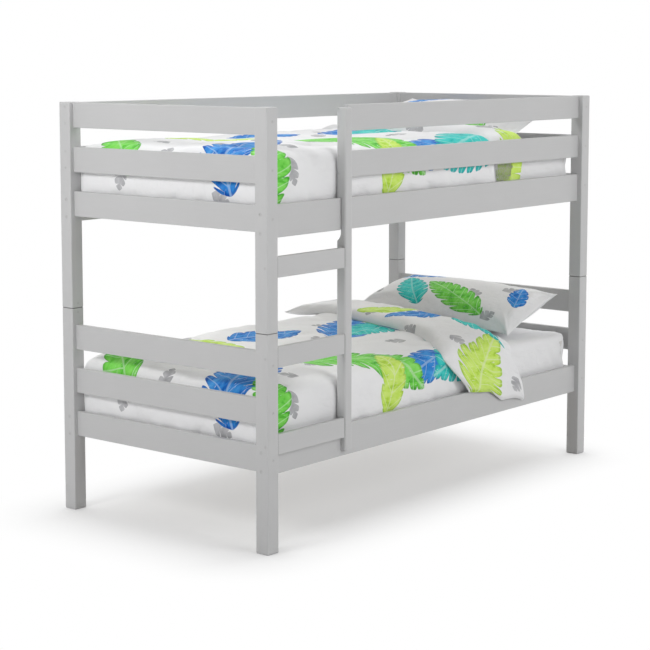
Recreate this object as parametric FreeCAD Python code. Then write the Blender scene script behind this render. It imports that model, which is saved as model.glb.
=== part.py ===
import FreeCAD, Part
import math
import os

# A bunk bed of two single beds. Square posts meet half way up on pegs, three boards close each end,
# bolted side rails carry the slats, and the upper bed has guard rails and a fixed ladder.
# Millimetres, +Z up. The origin is on the floor under the middle of the bed, +X runs to the head
# end and -Y is the front, where the ladder is.

# Overall size, over the posts
LENGTH = 1988.0
WIDTH = 988.0
HEIGHT = 1480.0

# Posts
POST = 54.0
POST_EASE = 3.5
POST_TIP = 2.5

# End boards: the drops are from the split to the lower bed's top board, and from the post tops
BOARD_HEIGHT = 90.0
BOARD_THICK = 20.0
BOARD_SETBACK = 16.5
BOARD_PITCH = 158.5
LOWER_BOARD_DROP = 61.0
UPPER_BOARD_DROP = 1.5
BOARD_EASE = 3.0

# Side rails: the step is the lower rails' top edge above that of the low end boards
RAIL_HEIGHT = 110.0
RAIL_THICK = 20.0
RAIL_SETBACK = 14.0
LOWER_RAIL_STEP = 10.0

# Guard rails
GUARD_HEIGHT = 90.0

# Ladder: the gap is the clear width from the post to the upright
LADDER_GAP = 350.0
UPRIGHT_WIDTH = 40.0
UPRIGHT_DROP = 10.0
UPRIGHT_HANG = 89.0
UPRIGHT_EASE = 8.0
COVE_HEIGHT = 31.0
COVE_STRAIGHT = 9.0
RUNG_HEIGHT = 70.0
RUNG_SETBACK = 2.0
TOP_RUNG_DROP = 59.5
MIDDLE_RUNG_DROP = 47.0
BOTTOM_RUNG_RISE = 68.0

# Slats and the bearers under them: the rise is from a side rail's lower edge to the slat tops
SLAT_COUNT = 13
SLAT_WIDTH = 70.0
SLAT_THICK = 16.0
SLAT_END_GAP = 20.0
SLAT_CLEAR = 1.0
SLAT_RISE = 58.0
BEARER_HEIGHT = 25.0
BEARER_THICK = 22.0

# Screws through posts and uprights into board ends
SCREW_RADIUS = 2.5
SCREW_BITE = 25.0
SCREW_HEAD_RADIUS = 5.0
SCREW_HEAD = 4.0

# Rail bolts and their barrel nuts
BOLT_RADIUS = 3.0
BOLT_HEAD_RADIUS = 6.5
BOLT_HEAD = 5.0
BOLT_TAIL = 3.0
BARREL_RADIUS = 5.0
BARREL_LENGTH = 15.0
BARREL_REACH = 40.0

# Small wood screws: slats to bearers, bearers to rails, ladder to rail
WOOD_SCREW_RADIUS = 2.0
WOOD_SCREW_BITE = 11.0
WOOD_SCREW_HEAD_RADIUS = 4.0
WOOD_SCREW_HEAD = 2.5

# Dowels, post pegs with their lock screws, and the pins under the lower rungs
DOWEL_RADIUS = 4.0
DOWEL_IN_POST = 12.0
DOWEL_IN_BOARD = 26.0
PEG_RADIUS = 6.0
PEG_REACH = 60.0
LOCK_RADIUS = 2.5
LOCK_HEAD_RADIUS = 4.0
LOCK_HEAD = 2.5
LOCK_RISE = 16.0
PIN_RADIUS = 3.5
PIN_REACH = 25.0

# Mattresses and their fitted sheets
MATTRESS_THICK = 178.0
MATTRESS_SIDE_GAP = 14.0
MATTRESS_END_GAP = 16.5
MATTRESS_CORNER = 48.0
MATTRESS_EDGE = 14.0
MATTRESS_DRAW = 3.0
MATTRESS_CROWN = 6.0
SHEET = 1.2

# Duvets: filled height over the sheet, depth tucked below the rail tops, and the turned-down end
DUVET_FILL = 42.0
DUVET_TUCK = 30.0
FOLD_FROM_HEAD = 394.0
FOLD_ROLL = 34.0
TURN_FILL = 30.0
UPPER_TURN = 180.0
LOWER_TURN_BACK = 250.0
LOWER_TURN_FRONT = 420.0
FLAP_DROP = 75.0
FLAP_THICK = 13.0
FLAP_SETBACK = 4.0

# Pillows, leaning on the head boards
PILLOW_LENGTH = 750.0
PILLOW_DEPTH = 345.0
PILLOW_LEAN = 150.0
PILLOW_UNDER = 80.0
PILLOW_DRAW = 14.0
PILLOW_HEAD_GAP = 20.0
PILLOW_SHIFT = 19.0
LOWER_PILLOW_CROWN = 114.0
UPPER_PILLOW_CROWN = 72.0

# Clearances: round a fastener, between parts that lift apart, round cloth, and for cutting tools
CLEAR = 0.2
LIFT_CLEAR = 0.4
SOFT_CLEAR = 0.4
SKIRT_CLEAR = 1.5
RAIL_TOP_CLEAR = 3.0
OVERRUN = 5.0

# Places as shares of the piece that carries them
RAIL_BOLT_SHARES = (0.165, 0.735)
GUARD_SCREW_SHARES = (0.17, 0.83)
BOARD_DOWEL_SHARES = (0.22, 0.78)
UPRIGHT_SCREW_SHARES = (0.28, 0.72)
MIDDLE_SHARE = 0.5
SOCKET_RADIUS_SHARE = 0.5
SOCKET_DEPTH_SHARE = 0.2
EASE_LIMIT_SHARE = 0.4
PARALLEL_SHARE = 0.01

# Height and inset of each level of a mattress edge, as shares of the edge's rounding
MATTRESS_EDGE_SHARES = ((1.0, 0.0), (0.3, 0.3), (0.0, 1.0))
MATTRESS_FOOT_SHARE = 0.6
CROWN_INSET_SHARE = 6.0
CORNER_SOFTEN_SHARE = 0.5

# Rise (of the filled height) and inset (of half the width) of each level of a duvet's crown
DUVET_CROWN_SHARES = ((-0.4, 0.0), (0.25, 0.012), (0.6, 0.045), (0.82, 0.11), (0.94, 0.24), (1.0, 0.45))

# A hanging flap's hem: place along the flap and share of the drop there; share that curves over
FLAP_HEM_SHARES = ((0.0, -0.25), (0.28, 0.2), (0.62, 0.74), (1.0, 1.0))
FLAP_DRAPE_SHARE = 0.78

# Places along a pillow from its middle, with its fullness there
PILLOW_HALF_SHARES = ((0.0, 1.0), (0.5, 0.93), (0.86, 0.56), (1.0, 0.10))
PILLOW_SHARES = [(-place, full) for place, full in PILLOW_HALF_SHARES[:0:-1]] + list(PILLOW_HALF_SHARES)

V = FreeCAD.Vector
X_AXIS = V(1, 0, 0)
Y_AXIS = V(0, 1, 0)
UP = V(0, 0, 1)
ENDS = {"foot": -1, "head": 1}
SIDES = {"front": -1, "back": 1}
BEDS = ("lower", "upper")
LEVELS = ("low", "mid", "top")

# Planes that the pieces share
HALF_LENGTH = LENGTH / 2
HALF_WIDTH = WIDTH / 2
SPLIT = HEIGHT / 2
INNER_X = HALF_LENGTH - POST
INNER_Y = HALF_WIDTH - POST
BOARD_INNER_X = INNER_X + BOARD_SETBACK
BOARD_X = BOARD_INNER_X + BOARD_THICK / 2
RAIL_INNER_Y = INNER_Y + RAIL_SETBACK
RAIL_OUTER_Y = RAIL_INNER_Y + RAIL_THICK
RAIL_Y = RAIL_INNER_Y + RAIL_THICK / 2
UPRIGHT_LEFT = LADDER_GAP - INNER_X
UPRIGHT_RIGHT = UPRIGHT_LEFT + UPRIGHT_WIDTH
RUNG_FRONT = RUNG_SETBACK - HALF_WIDTH
RUNG_BACK = -RAIL_OUTER_Y - LIFT_CLEAR
RUNG_Y = (RUNG_FRONT + RUNG_BACK) / 2

# Lower edges of the boards, rails and rungs, and the beds' slat tops
BOARD_TOPS = {"lower": SPLIT - LOWER_BOARD_DROP, "upper": HEIGHT - UPPER_BOARD_DROP}
BOARD_BASES = {
    bed: [BOARD_TOPS[bed] - BOARD_HEIGHT - below * BOARD_PITCH for below in (2, 1, 0)] for bed in BEDS
}
RAIL_TOPS = {
    "lower": BOARD_BASES["lower"][0] + BOARD_HEIGHT + LOWER_RAIL_STEP,
    "upper": BOARD_BASES["upper"][0] + BOARD_HEIGHT,
}
RAIL_BASES = {bed: RAIL_TOPS[bed] - RAIL_HEIGHT for bed in BEDS}
GUARD_BASES = dict(zip(LEVELS[1:], BOARD_BASES["upper"][1:]))
RUNG_BASES = {
    "top": RAIL_BASES["upper"] - TOP_RUNG_DROP - RUNG_HEIGHT,
    "middle": SPLIT - MIDDLE_RUNG_DROP - RUNG_HEIGHT,
    "bottom": RAIL_BASES["lower"] + BOTTOM_RUNG_RISE,
}
PINNED_RUNGS = ("middle", "bottom")
SLAT_TOPS = {bed: RAIL_BASES[bed] + SLAT_RISE for bed in BEDS}

# Lengths that follow from what the fasteners go through
SCREW_LENGTH = POST + SCREW_BITE
BOLT_LENGTH = POST + BARREL_REACH + BARREL_RADIUS + BOLT_TAIL
WOOD_SCREW_LENGTH = BEARER_THICK + WOOD_SCREW_BITE
LOCK_LENGTH = POST / 2 - PEG_RADIUS - LIFT_CLEAR
PIN_LENGTH = POST + PIN_REACH

# Bedding: half sizes of the mattress, its height, and the cloth beside it
MATTRESS_HALF_X = BOARD_INNER_X - MATTRESS_END_GAP
MATTRESS_HALF_Y = RAIL_INNER_Y - MATTRESS_SIDE_GAP
MATTRESS_TOPS = {bed: SLAT_TOPS[bed] + MATTRESS_THICK for bed in BEDS}
SHEET_TOPS = {bed: MATTRESS_TOPS[bed] + MATTRESS_CROWN + SHEET for bed in BEDS}
DUVET_HALF_X = BOARD_INNER_X - SKIRT_CLEAR
DUVET_HALF_Y = RAIL_INNER_Y - SKIRT_CLEAR
FOLD_X = MATTRESS_HALF_X - FOLD_FROM_HEAD
TURN_STARTS = {
    "lower": {"front": FOLD_X - LOWER_TURN_FRONT, "back": FOLD_X - LOWER_TURN_BACK},
    "upper": {"front": FOLD_X - UPPER_TURN, "back": FOLD_X - UPPER_TURN},
}
PILLOW_CROWNS = {"lower": LOWER_PILLOW_CROWN, "upper": UPPER_PILLOW_CROWN}


def block(x, y, z):
    """A box between two limits on each axis, given in either order."""
    low = V(min(x), min(y), min(z))
    return Part.makeBox(max(x) - low.x, max(y) - low.y, max(z) - low.z, low)


def eased(solid, axis, radius, wall):
    """The solid with its straight edges along an axis rounded, as far as its thinnest wall allows."""
    runs = [e for e in solid.Edges if e.tangentAt(e.FirstParameter).cross(axis).Length < PARALLEL_SHARE]
    return solid.makeFillet(min(radius, wall * EASE_LIMIT_SHARE), runs)


def prism(points, sweep):
    """A solid swept from a flat outline; a tuple of three points is an arc through them."""
    edges = []
    last = None
    for step in points:
        if isinstance(step, tuple):
            if last is not None:
                edges.append(Part.makeLine(last, step[0]))
            edges.append(Part.Arc(*step).toShape())
            last = step[2]
        else:
            if last is not None:
                edges.append(Part.makeLine(last, step))
            last = step
    first = points[0][0] if isinstance(points[0], tuple) else points[0]
    edges.append(Part.makeLine(last, first))
    return Part.Face(Part.Wire(edges)).extrude(sweep)


class Fastener:
    """A headed rod, let into the wood until its head is flush."""

    def __init__(self, radius, length, head_radius, head):
        self.radius = radius
        self.length = length
        self.head_radius = head_radius
        self.head = head

    def rod(self, at, into, clear):
        shank = Part.makeCylinder(self.radius + clear, self.length + clear, at, into)
        head = Part.makeCylinder(self.head_radius + clear, self.head + clear, at, into)
        return shank.fuse(head).removeSplitter()

    def made(self, at, into):
        """The fastener, with a hexagon socket in its head."""
        side = V(into.y, into.z, into.x) * self.head_radius * SOCKET_RADIUS_SHARE
        ring = [at + FreeCAD.Rotation(into, turn * 360 / 6).multVec(side) for turn in range(6)]
        socket = prism(ring, into * self.head * SOCKET_DEPTH_SHARE)
        return self.rod(at, into, 0).cut(socket)

    def hole(self, at, into):
        """The hole for the fastener, open at the face that its head lies in."""
        mouth = Part.makeCylinder(self.head_radius + CLEAR, OVERRUN, at - into * OVERRUN, into)
        return self.rod(at, into, CLEAR).fuse(mouth).removeSplitter()


BOARD_SCREW = Fastener(SCREW_RADIUS, SCREW_LENGTH, SCREW_HEAD_RADIUS, SCREW_HEAD)
RAIL_BOLT = Fastener(BOLT_RADIUS, BOLT_LENGTH, BOLT_HEAD_RADIUS, BOLT_HEAD)
WOOD_SCREW = Fastener(WOOD_SCREW_RADIUS, WOOD_SCREW_LENGTH, WOOD_SCREW_HEAD_RADIUS, WOOD_SCREW_HEAD)
LOCK_SCREW = Fastener(LOCK_RADIUS, LOCK_LENGTH, LOCK_HEAD_RADIUS, LOCK_HEAD)
RUNG_PIN = Fastener(PIN_RADIUS, PIN_LENGTH, SCREW_HEAD_RADIUS, SCREW_HEAD)


def drilled(solid, holes):
    """The solid with every hole that reaches it cut away."""
    near = [hole for hole in holes if hole.BoundBox.intersect(solid.BoundBox)]
    return solid.cut(near) if near else solid


def post(bed, end, side):
    """One length of a corner post, chamfered at both ends."""
    z = {"lower": (0, SPLIT), "upper": (SPLIT, HEIGHT)}[bed]
    square = block((end * HALF_LENGTH, end * INNER_X), (side * HALF_WIDTH, side * INNER_Y), z)
    body = eased(square, UP, POST_EASE, POST)
    tips = [e for e in body.Edges if e.BoundBox.ZLength < POST_TIP]
    return body.makeChamfer(min(POST_TIP, POST * EASE_LIMIT_SHARE), tips)


def end_board(base, end):
    x = (end * BOARD_INNER_X, end * (BOARD_INNER_X + BOARD_THICK))
    board = block(x, (-INNER_Y, INNER_Y), (base, base + BOARD_HEIGHT))
    return eased(board, Y_AXIS, BOARD_EASE, BOARD_THICK)


def long_rail(start, side, base, height):
    """A side rail or guard rail, from its foot end to the head posts."""
    y = (side * RAIL_INNER_Y, side * RAIL_OUTER_Y)
    return eased(block((start, INNER_X), y, (base, base + height)), X_AXIS, BOARD_EASE, RAIL_THICK)


def guard_start(side):
    """The front guard rails start at the ladder, the back ones at the post."""
    return UPRIGHT_RIGHT if side == SIDES["front"] else -INNER_X


def leaving_arc(start, along, across):
    """An arc that leaves a point along one vector and ends both vectors away from it."""
    radius = (along.Length ** 2 + across.Length ** 2) / (2 * across.Length)
    half = math.atan2(along.Length, radius - across.Length) / 2
    ahead = V(along).normalize() * (radius * math.sin(half))
    aside = V(across).normalize() * (radius * (1 - math.cos(half)))
    return start, start + ahead + aside, start + along + across


def cove(x, top):
    """Outline of the hollow under the upper rail, where the upright comes back to its full depth."""
    arc = leaving_arc(V(x, -RAIL_OUTER_Y, top), UP * -COVE_HEIGHT, Y_AXIS * RAIL_THICK)
    behind = -RAIL_INNER_Y + OVERRUN
    return [arc, V(x, behind, top - COVE_HEIGHT), V(x, behind, top)]


def eased_notch():
    """The upright's notch where it clasps the upper rail, its outer edges eased."""
    z = RAIL_BASES["upper"]
    eased_y = -RAIL_OUTER_Y - BOARD_EASE
    behind = -RAIL_INNER_Y + OVERRUN
    plan = [
        V(UPRIGHT_LEFT - OVERRUN, behind, z),
        V(UPRIGHT_LEFT - OVERRUN, eased_y, z),
        V(UPRIGHT_LEFT, eased_y, z),
        V(UPRIGHT_LEFT + BOARD_EASE, -RAIL_OUTER_Y, z),
        V(UPRIGHT_RIGHT - BOARD_EASE, -RAIL_OUTER_Y, z),
        V(UPRIGHT_RIGHT, eased_y, z),
        V(UPRIGHT_RIGHT + OVERRUN, eased_y, z),
        V(UPRIGHT_RIGHT + OVERRUN, behind, z),
    ]
    return prism(plan, UP * RAIL_HEIGHT)


def ladder_upright():
    """The ladder's own upright, notched round the upper side rail and over the lower one."""
    foot = RAIL_TOPS["lower"] - UPRIGHT_HANG
    bar = block((UPRIGHT_LEFT, UPRIGHT_RIGHT), (-HALF_WIDTH, -RAIL_INNER_Y), (foot, HEIGHT - UPRIGHT_DROP))
    rim = [e for e in bar.Edges if e.CenterOfMass.z > foot]
    bar = bar.makeFillet(min(UPRIGHT_EASE, UPRIGHT_WIDTH * EASE_LIMIT_SHARE), rim)
    across = (UPRIGHT_LEFT - OVERRUN, UPRIGHT_RIGHT + OVERRUN)
    behind = -RAIL_INNER_Y + OVERRUN
    cove_top = RAIL_BASES["upper"] - COVE_STRAIGHT
    clearing = block(across, (-RAIL_OUTER_Y, behind), (cove_top, RAIL_BASES["upper"]))
    hollow = prism(cove(across[0], cove_top), X_AXIS * (across[1] - across[0]))
    lap = block(across, (RUNG_BACK, behind), (foot - OVERRUN, RAIL_TOPS["lower"] + LIFT_CLEAR))
    return bar.cut([eased_notch(), clearing, hollow, lap])


def rung(level):
    """A rung from the post to the upright. The two lower ones are slotted to drop over their pins."""
    pinned = level in PINNED_RUNGS
    base = RUNG_BASES[level]
    start = -INNER_X + (LIFT_CLEAR if pinned else 0)
    bar = block((start, UPRIGHT_LEFT), (RUNG_FRONT, RUNG_BACK), (base, base + RUNG_HEIGHT))
    bar = eased(bar, X_AXIS, BOARD_EASE, RUNG_BACK - RUNG_FRONT)
    if not pinned:
        return bar
    half = PIN_RADIUS + LIFT_CLEAR
    middle = base + RUNG_HEIGHT * MIDDLE_SHARE
    mouth = start - OVERRUN
    slot_end = -INNER_X + PIN_REACH + LIFT_CLEAR
    slot = block((mouth, slot_end), (RUNG_Y - half, RUNG_Y + half), (base - OVERRUN, middle))
    round_top = Part.makeCylinder(half, slot_end - mouth, V(mouth, RUNG_Y, middle), X_AXIS)
    return bar.cut(slot.fuse(round_top).removeSplitter())


def bearer(bed, side):
    top = SLAT_TOPS[bed] - SLAT_THICK
    x = SLAT_END_GAP - INNER_X
    y = (side * RAIL_INNER_Y, side * (RAIL_INNER_Y - BEARER_THICK))
    return eased(block((x, -x), y, (top - BEARER_HEIGHT, top)), X_AXIS, BOARD_EASE, BEARER_THICK)


def slat_places():
    """Middles of the slats along the bed, evenly spaced between the posts."""
    first = SLAT_END_GAP + SLAT_WIDTH / 2 - INNER_X
    return [first - 2 * first * n / (SLAT_COUNT - 1) for n in range(SLAT_COUNT)]


def slat(bed, x):
    half = SLAT_WIDTH / 2
    reach = RAIL_INNER_Y - SLAT_CLEAR
    z = (SLAT_TOPS[bed] - SLAT_THICK, SLAT_TOPS[bed])
    return eased(block((x - half, x + half), (-reach, reach), z), Y_AXIS, BOARD_EASE, SLAT_THICK)


def board_screw_places(bed):
    """Screws through the posts into the end boards and, on the upper bed, guard rails and rungs."""
    places = []
    for base in BOARD_BASES[bed]:
        for end in ENDS.values():
            for side in SIDES.values():
                at = V(end * BOARD_X, side * HALF_WIDTH, base + BOARD_HEIGHT * MIDDLE_SHARE)
                places.append((at, Y_AXIS * -side))
    if bed == "lower":
        return places
    for base in GUARD_BASES.values():
        for share in GUARD_SCREW_SHARES:
            z = base + GUARD_HEIGHT * share
            for side in SIDES.values():
                start = UPRIGHT_LEFT if side == SIDES["front"] else -HALF_LENGTH
                places.append((V(start, side * RAIL_Y, z), X_AXIS))
                places.append((V(HALF_LENGTH, side * RAIL_Y, z), -X_AXIS))
    for base in RUNG_BASES.values():
        places.append((V(UPRIGHT_RIGHT, RUNG_Y, base + RUNG_HEIGHT * MIDDLE_SHARE), -X_AXIS))
    places.append((V(-HALF_LENGTH, RUNG_Y, RUNG_BASES["top"] + RUNG_HEIGHT * MIDDLE_SHARE), X_AXIS))
    return places


def rung_pin_places():
    return [
        (V(-HALF_LENGTH, RUNG_Y, RUNG_BASES[level] + RUNG_HEIGHT * MIDDLE_SHARE), X_AXIS)
        for level in PINNED_RUNGS
    ]


def rail_bolt_places(bed):
    return [
        (V(end * HALF_LENGTH, side * RAIL_Y, RAIL_BASES[bed] + RAIL_HEIGHT * share), X_AXIS * -end)
        for end in ENDS.values()
        for side in SIDES.values()
        for share in RAIL_BOLT_SHARES
    ]


def barrel_rods(bed, clear, mouth):
    """Barrel nuts across the rails, or their holes, which open at the rails' inner faces."""
    rods = []
    for at, into in rail_bolt_places(bed):
        side = math.copysign(1, at.y)
        start = V(into.x * (BARREL_REACH - INNER_X), side * (RAIL_Y + BARREL_LENGTH / 2 + clear), at.z)
        length = BARREL_LENGTH + 2 * clear + mouth
        rods.append(Part.makeCylinder(BARREL_RADIUS + clear, length, start, Y_AXIS * -side))
    return rods


def dowel_rods(bed, clear):
    """Dowels between the posts and the ends of the end boards, or their holes."""
    rods = []
    length = DOWEL_IN_POST + DOWEL_IN_BOARD + 2 * clear
    for base in BOARD_BASES[bed]:
        for share in BOARD_DOWEL_SHARES:
            for end in ENDS.values():
                for side in SIDES.values():
                    y = side * (INNER_Y + DOWEL_IN_POST + clear)
                    at = V(end * BOARD_X, y, base + BOARD_HEIGHT * share)
                    rods.append(Part.makeCylinder(DOWEL_RADIUS + clear, length, at, Y_AXIS * -side))
    return rods


def peg_rods(clear):
    """Pegs that join the two lengths of each post, or their holes."""
    reach = PEG_REACH + clear
    return [
        Part.makeCylinder(
            PEG_RADIUS + clear,
            2 * reach,
            V(end * (HALF_LENGTH - POST / 2), side * (HALF_WIDTH - POST / 2), SPLIT - reach),
        )
        for end in ENDS.values()
        for side in SIDES.values()
    ]


def lock_screw_places(bed):
    z = SPLIT + LOCK_RISE * (1 if bed == "upper" else -1)
    return [
        (V(end * (HALF_LENGTH - POST / 2), side * INNER_Y, z), Y_AXIS * side)
        for end in ENDS.values()
        for side in SIDES.values()
    ]


def wood_screw_places(bed):
    """Slats to bearers from above, bearers to rails from inside, and the ladder from behind its rail."""
    middles = slat_places()
    gaps = [(a + b) / 2 for a, b in zip(middles, middles[1:])]
    bearer_y = RAIL_INNER_Y - BEARER_THICK / 2
    bearer_z = SLAT_TOPS[bed] - SLAT_THICK - BEARER_HEIGHT / 2
    places = []
    for side in SIDES.values():
        places += [(V(x, side * bearer_y, SLAT_TOPS[bed]), -UP) for x in middles]
        inner = side * (RAIL_INNER_Y - BEARER_THICK)
        places += [(V(x, inner, bearer_z), Y_AXIS * side) for x in gaps[::3]]
    if bed == "upper":
        x = (UPRIGHT_LEFT + UPRIGHT_RIGHT) / 2
        for share in UPRIGHT_SCREW_SHARES:
            places.append((V(x, -RAIL_INNER_Y, RAIL_BASES[bed] + RAIL_HEIGHT * share), -Y_AXIS))
    return places


def outline(half_x, half_y, radius, z):
    """A level rectangle with round corners, as one wire."""
    arcs = []
    for sx, sy in ((1, -1), (1, 1), (-1, 1), (-1, -1)):
        centre = V(sx * (half_x - radius), sy * (half_y - radius), z)
        ends = [V(0, sy, 0), V(sx, 0, 0)]
        if sx == sy:
            ends.reverse()
        points = [ends[0], V(sx, sy, 0).normalize(), ends[1]]
        arcs.append(Part.Arc(*[centre + point * radius for point in points]).toShape())
    edges = []
    for arc, following in zip(arcs, arcs[1:] + arcs[:1]):
        edges += [arc, Part.makeLine(arc.lastVertex().Point, following.firstVertex().Point)]
    return Part.Wire(edges)


def layered(levels, half_x, half_y, corner):
    """A soft block through level outlines, each given by its height and how far it is drawn in."""
    rings = []
    for z, inset in levels:
        radius = corner + inset * CORNER_SOFTEN_SHARE
        rings.append(outline(half_x - inset, half_y - inset, radius, z))
    return Part.makeLoft(rings, True, True)


def mattress_form(bed, grow, draw):
    """The mattress with sides drawn in half way up, rounded edges and a low crown, grown all over if asked."""
    base = SLAT_TOPS[bed] - grow
    top = MATTRESS_TOPS[bed] + grow
    levels = [
        (base, MATTRESS_EDGE * MATTRESS_FOOT_SHARE),
        (base + MATTRESS_EDGE, 0),
        ((base + top) / 2, draw),
    ]
    levels += [(top - MATTRESS_EDGE * drop, MATTRESS_EDGE * inset) for drop, inset in MATTRESS_EDGE_SHARES]
    levels.append((top + MATTRESS_CROWN, MATTRESS_EDGE * CROWN_INSET_SHARE))
    return layered(levels, MATTRESS_HALF_X + grow, MATTRESS_HALF_Y + grow, MATTRESS_CORNER + grow)


def fitted_sheet(bed):
    """The sheet over the mattress's top and sides, open below."""
    cover = mattress_form(bed, SHEET, MATTRESS_DRAW).cut(mattress_form(bed, 0, MATTRESS_DRAW))
    hem = SLAT_TOPS[bed] + MATTRESS_EDGE
    below = block((-HALF_LENGTH, HALF_LENGTH), (-HALF_WIDTH, HALF_WIDTH), (0, hem))
    return cover.cut(below)


def duvet_form(bed, fill):
    """The outside of a duvet: tucked skirts and a filled crown."""
    levels = [(RAIL_TOPS[bed] - DUVET_TUCK, 0)]
    levels += [(SHEET_TOPS[bed] + fill * rise, HALF_WIDTH * inset) for rise, inset in DUVET_CROWN_SHARES]
    corner = MATTRESS_CORNER + DUVET_HALF_Y - MATTRESS_HALF_Y
    return layered(levels, DUVET_HALF_X, DUVET_HALF_Y, corner)


def fold_end(bed, start):
    """The space of the turned-down end: its start slants in plan, and its fold is a round roll."""
    top = SHEET_TOPS[bed] + DUVET_FILL + TURN_FILL
    low = RAIL_TOPS[bed] - DUVET_TUCK - OVERRUN
    plan = [
        V(start["front"], -HALF_WIDTH, low),
        V(FOLD_X, -HALF_WIDTH, low),
        V(FOLD_X, HALF_WIDTH, low),
        V(start["back"], HALF_WIDTH, low),
    ]
    roll_mid = FOLD_ROLL * math.sqrt(MIDDLE_SHARE)
    y = -HALF_WIDTH - OVERRUN
    arc = (
        V(FOLD_X, y, top - FOLD_ROLL),
        V(FOLD_X - FOLD_ROLL + roll_mid, y, top - FOLD_ROLL + roll_mid),
        V(FOLD_X - FOLD_ROLL, y, top),
    )
    side = [V(-HALF_LENGTH, y, low), V(FOLD_X, y, low), arc, V(-HALF_LENGTH, y, top)]
    return prism(plan, UP * (top + OVERRUN - low)).common(prism(side, Y_AXIS * (WIDTH + 2 * OVERRUN)))


def front_flap(bed, start):
    """The corner of the turned-down end that hangs outside the front rail, with a slanting hem."""
    top = SHEET_TOPS[bed] + DUVET_FILL
    ledge = RAIL_TOPS[bed] + RAIL_TOP_CLEAR
    low = RAIL_TOPS[bed] - FLAP_DROP - OVERRUN
    front = FLAP_SETBACK - HALF_WIDTH
    back = front + FLAP_THICK
    shoulder = -MATTRESS_HALF_Y + FLAP_THICK
    drape = (top - ledge) * FLAP_DRAPE_SHARE
    width = FOLD_X - start
    section = [
        V(start, shoulder, ledge),
        V(start, back, ledge),
        V(start, back, low),
        V(start, front, low),
        leaving_arc(V(start, front, top - drape), UP * drape, Y_AXIS * (shoulder - front)),
    ]
    y = front - OVERRUN
    hem = [
        V(start + width * along, y, RAIL_TOPS[bed] - FLAP_DROP * drop) for along, drop in FLAP_HEM_SHARES
    ]
    face = prism(hem + [V(FOLD_X, y, top), V(start, y, top)], Y_AXIS * (shoulder - y + OVERRUN))
    return prism(section, X_AXIS * width).common(face)


def duvet(bed):
    """A duvet over the mattress, its head end turned down on itself."""
    starts = TURN_STARTS[bed]
    body_end = FOLD_X - FOLD_ROLL
    space = block((-HALF_LENGTH, body_end), (-HALF_WIDTH, HALF_WIDTH), (0, HEIGHT))
    cover = duvet_form(bed, DUVET_FILL).common(space)
    layers = [duvet_form(bed, DUVET_FILL + TURN_FILL).common(fold_end(bed, starts))]
    if bed == "lower":
        layers.append(front_flap(bed, starts["front"]))
    way_off = mattress_form(bed, SHEET + SOFT_CLEAR, 0)
    return cover.fuse(layers).cut(way_off).removeSplitter()


def pillow(bed):
    """A plump pillow that leans on the head boards, full in the middle and thin at its corners."""
    head_x = BOARD_INNER_X - PILLOW_HEAD_GAP
    chord = V(PILLOW_DEPTH, 0, PILLOW_LEAN)
    across = V(-chord.z, 0, chord.x).normalize()
    rings = []
    for place, full in PILLOW_SHARES:
        draw = X_AXIS * (PILLOW_DRAW * (1 - abs(place)))
        y = Y_AXIS * (place * PILLOW_LENGTH / 2 - PILLOW_SHIFT)
        foot = V(head_x - PILLOW_DEPTH, 0, 0) + y + draw
        head = V(head_x, 0, PILLOW_LEAN) + y - draw
        middle = (foot + head) / 2
        over = Part.Arc(foot, middle + across * (PILLOW_CROWNS[bed] * full), head).toShape()
        under = Part.Arc(head, middle - across * (PILLOW_UNDER * full), foot).toShape()
        rings.append(Part.Wire([over, under]))
    form = Part.makeLoft(rings, True, False)
    seat = SHEET_TOPS[bed] + SOFT_CLEAR
    return form.translated(UP * (seat - form.optimalBoundingBox(False).ZMin))


def holes_of(bed):
    """Every hole that is drilled into one bed's wood."""
    holes = [BOARD_SCREW.hole(*place) for place in board_screw_places(bed)]
    holes += [RAIL_BOLT.hole(*place) for place in rail_bolt_places(bed)]
    holes += [WOOD_SCREW.hole(*place) for place in wood_screw_places(bed)]
    holes += [LOCK_SCREW.hole(*place) for place in lock_screw_places(bed)]
    holes += barrel_rods(bed, CLEAR, RAIL_THICK)
    holes += dowel_rods(bed, CLEAR)
    holes += peg_rods(LIFT_CLEAR)
    if bed == "lower":
        holes += [RUNG_PIN.hole(*place) for place in rung_pin_places()]
    return holes


def wood_of(bed):
    """One bed's timber, by name, before it is drilled."""
    wood = {}
    for end_name, end in ENDS.items():
        for side_name, side in SIDES.items():
            wood[f"{bed}_post_{side_name}_{end_name}"] = post(bed, end, side)
        for level, base in zip(LEVELS, BOARD_BASES[bed]):
            wood[f"{bed}_{end_name}_board_{level}"] = end_board(base, end)
    for side_name, side in SIDES.items():
        wood[f"{bed}_side_rail_{side_name}"] = long_rail(-INNER_X, side, RAIL_BASES[bed], RAIL_HEIGHT)
        wood[f"{bed}_slat_bearer_{side_name}"] = bearer(bed, side)
    if bed == "upper":
        for side_name, side in SIDES.items():
            for level, base in GUARD_BASES.items():
                rail = long_rail(guard_start(side), side, base, GUARD_HEIGHT)
                wood[f"guard_rail_{side_name}_{level}"] = rail
        wood["ladder_upright"] = ladder_upright()
        for level in RUNG_BASES:
            wood[f"ladder_rung_{level}"] = rung(level)
    return wood


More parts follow.
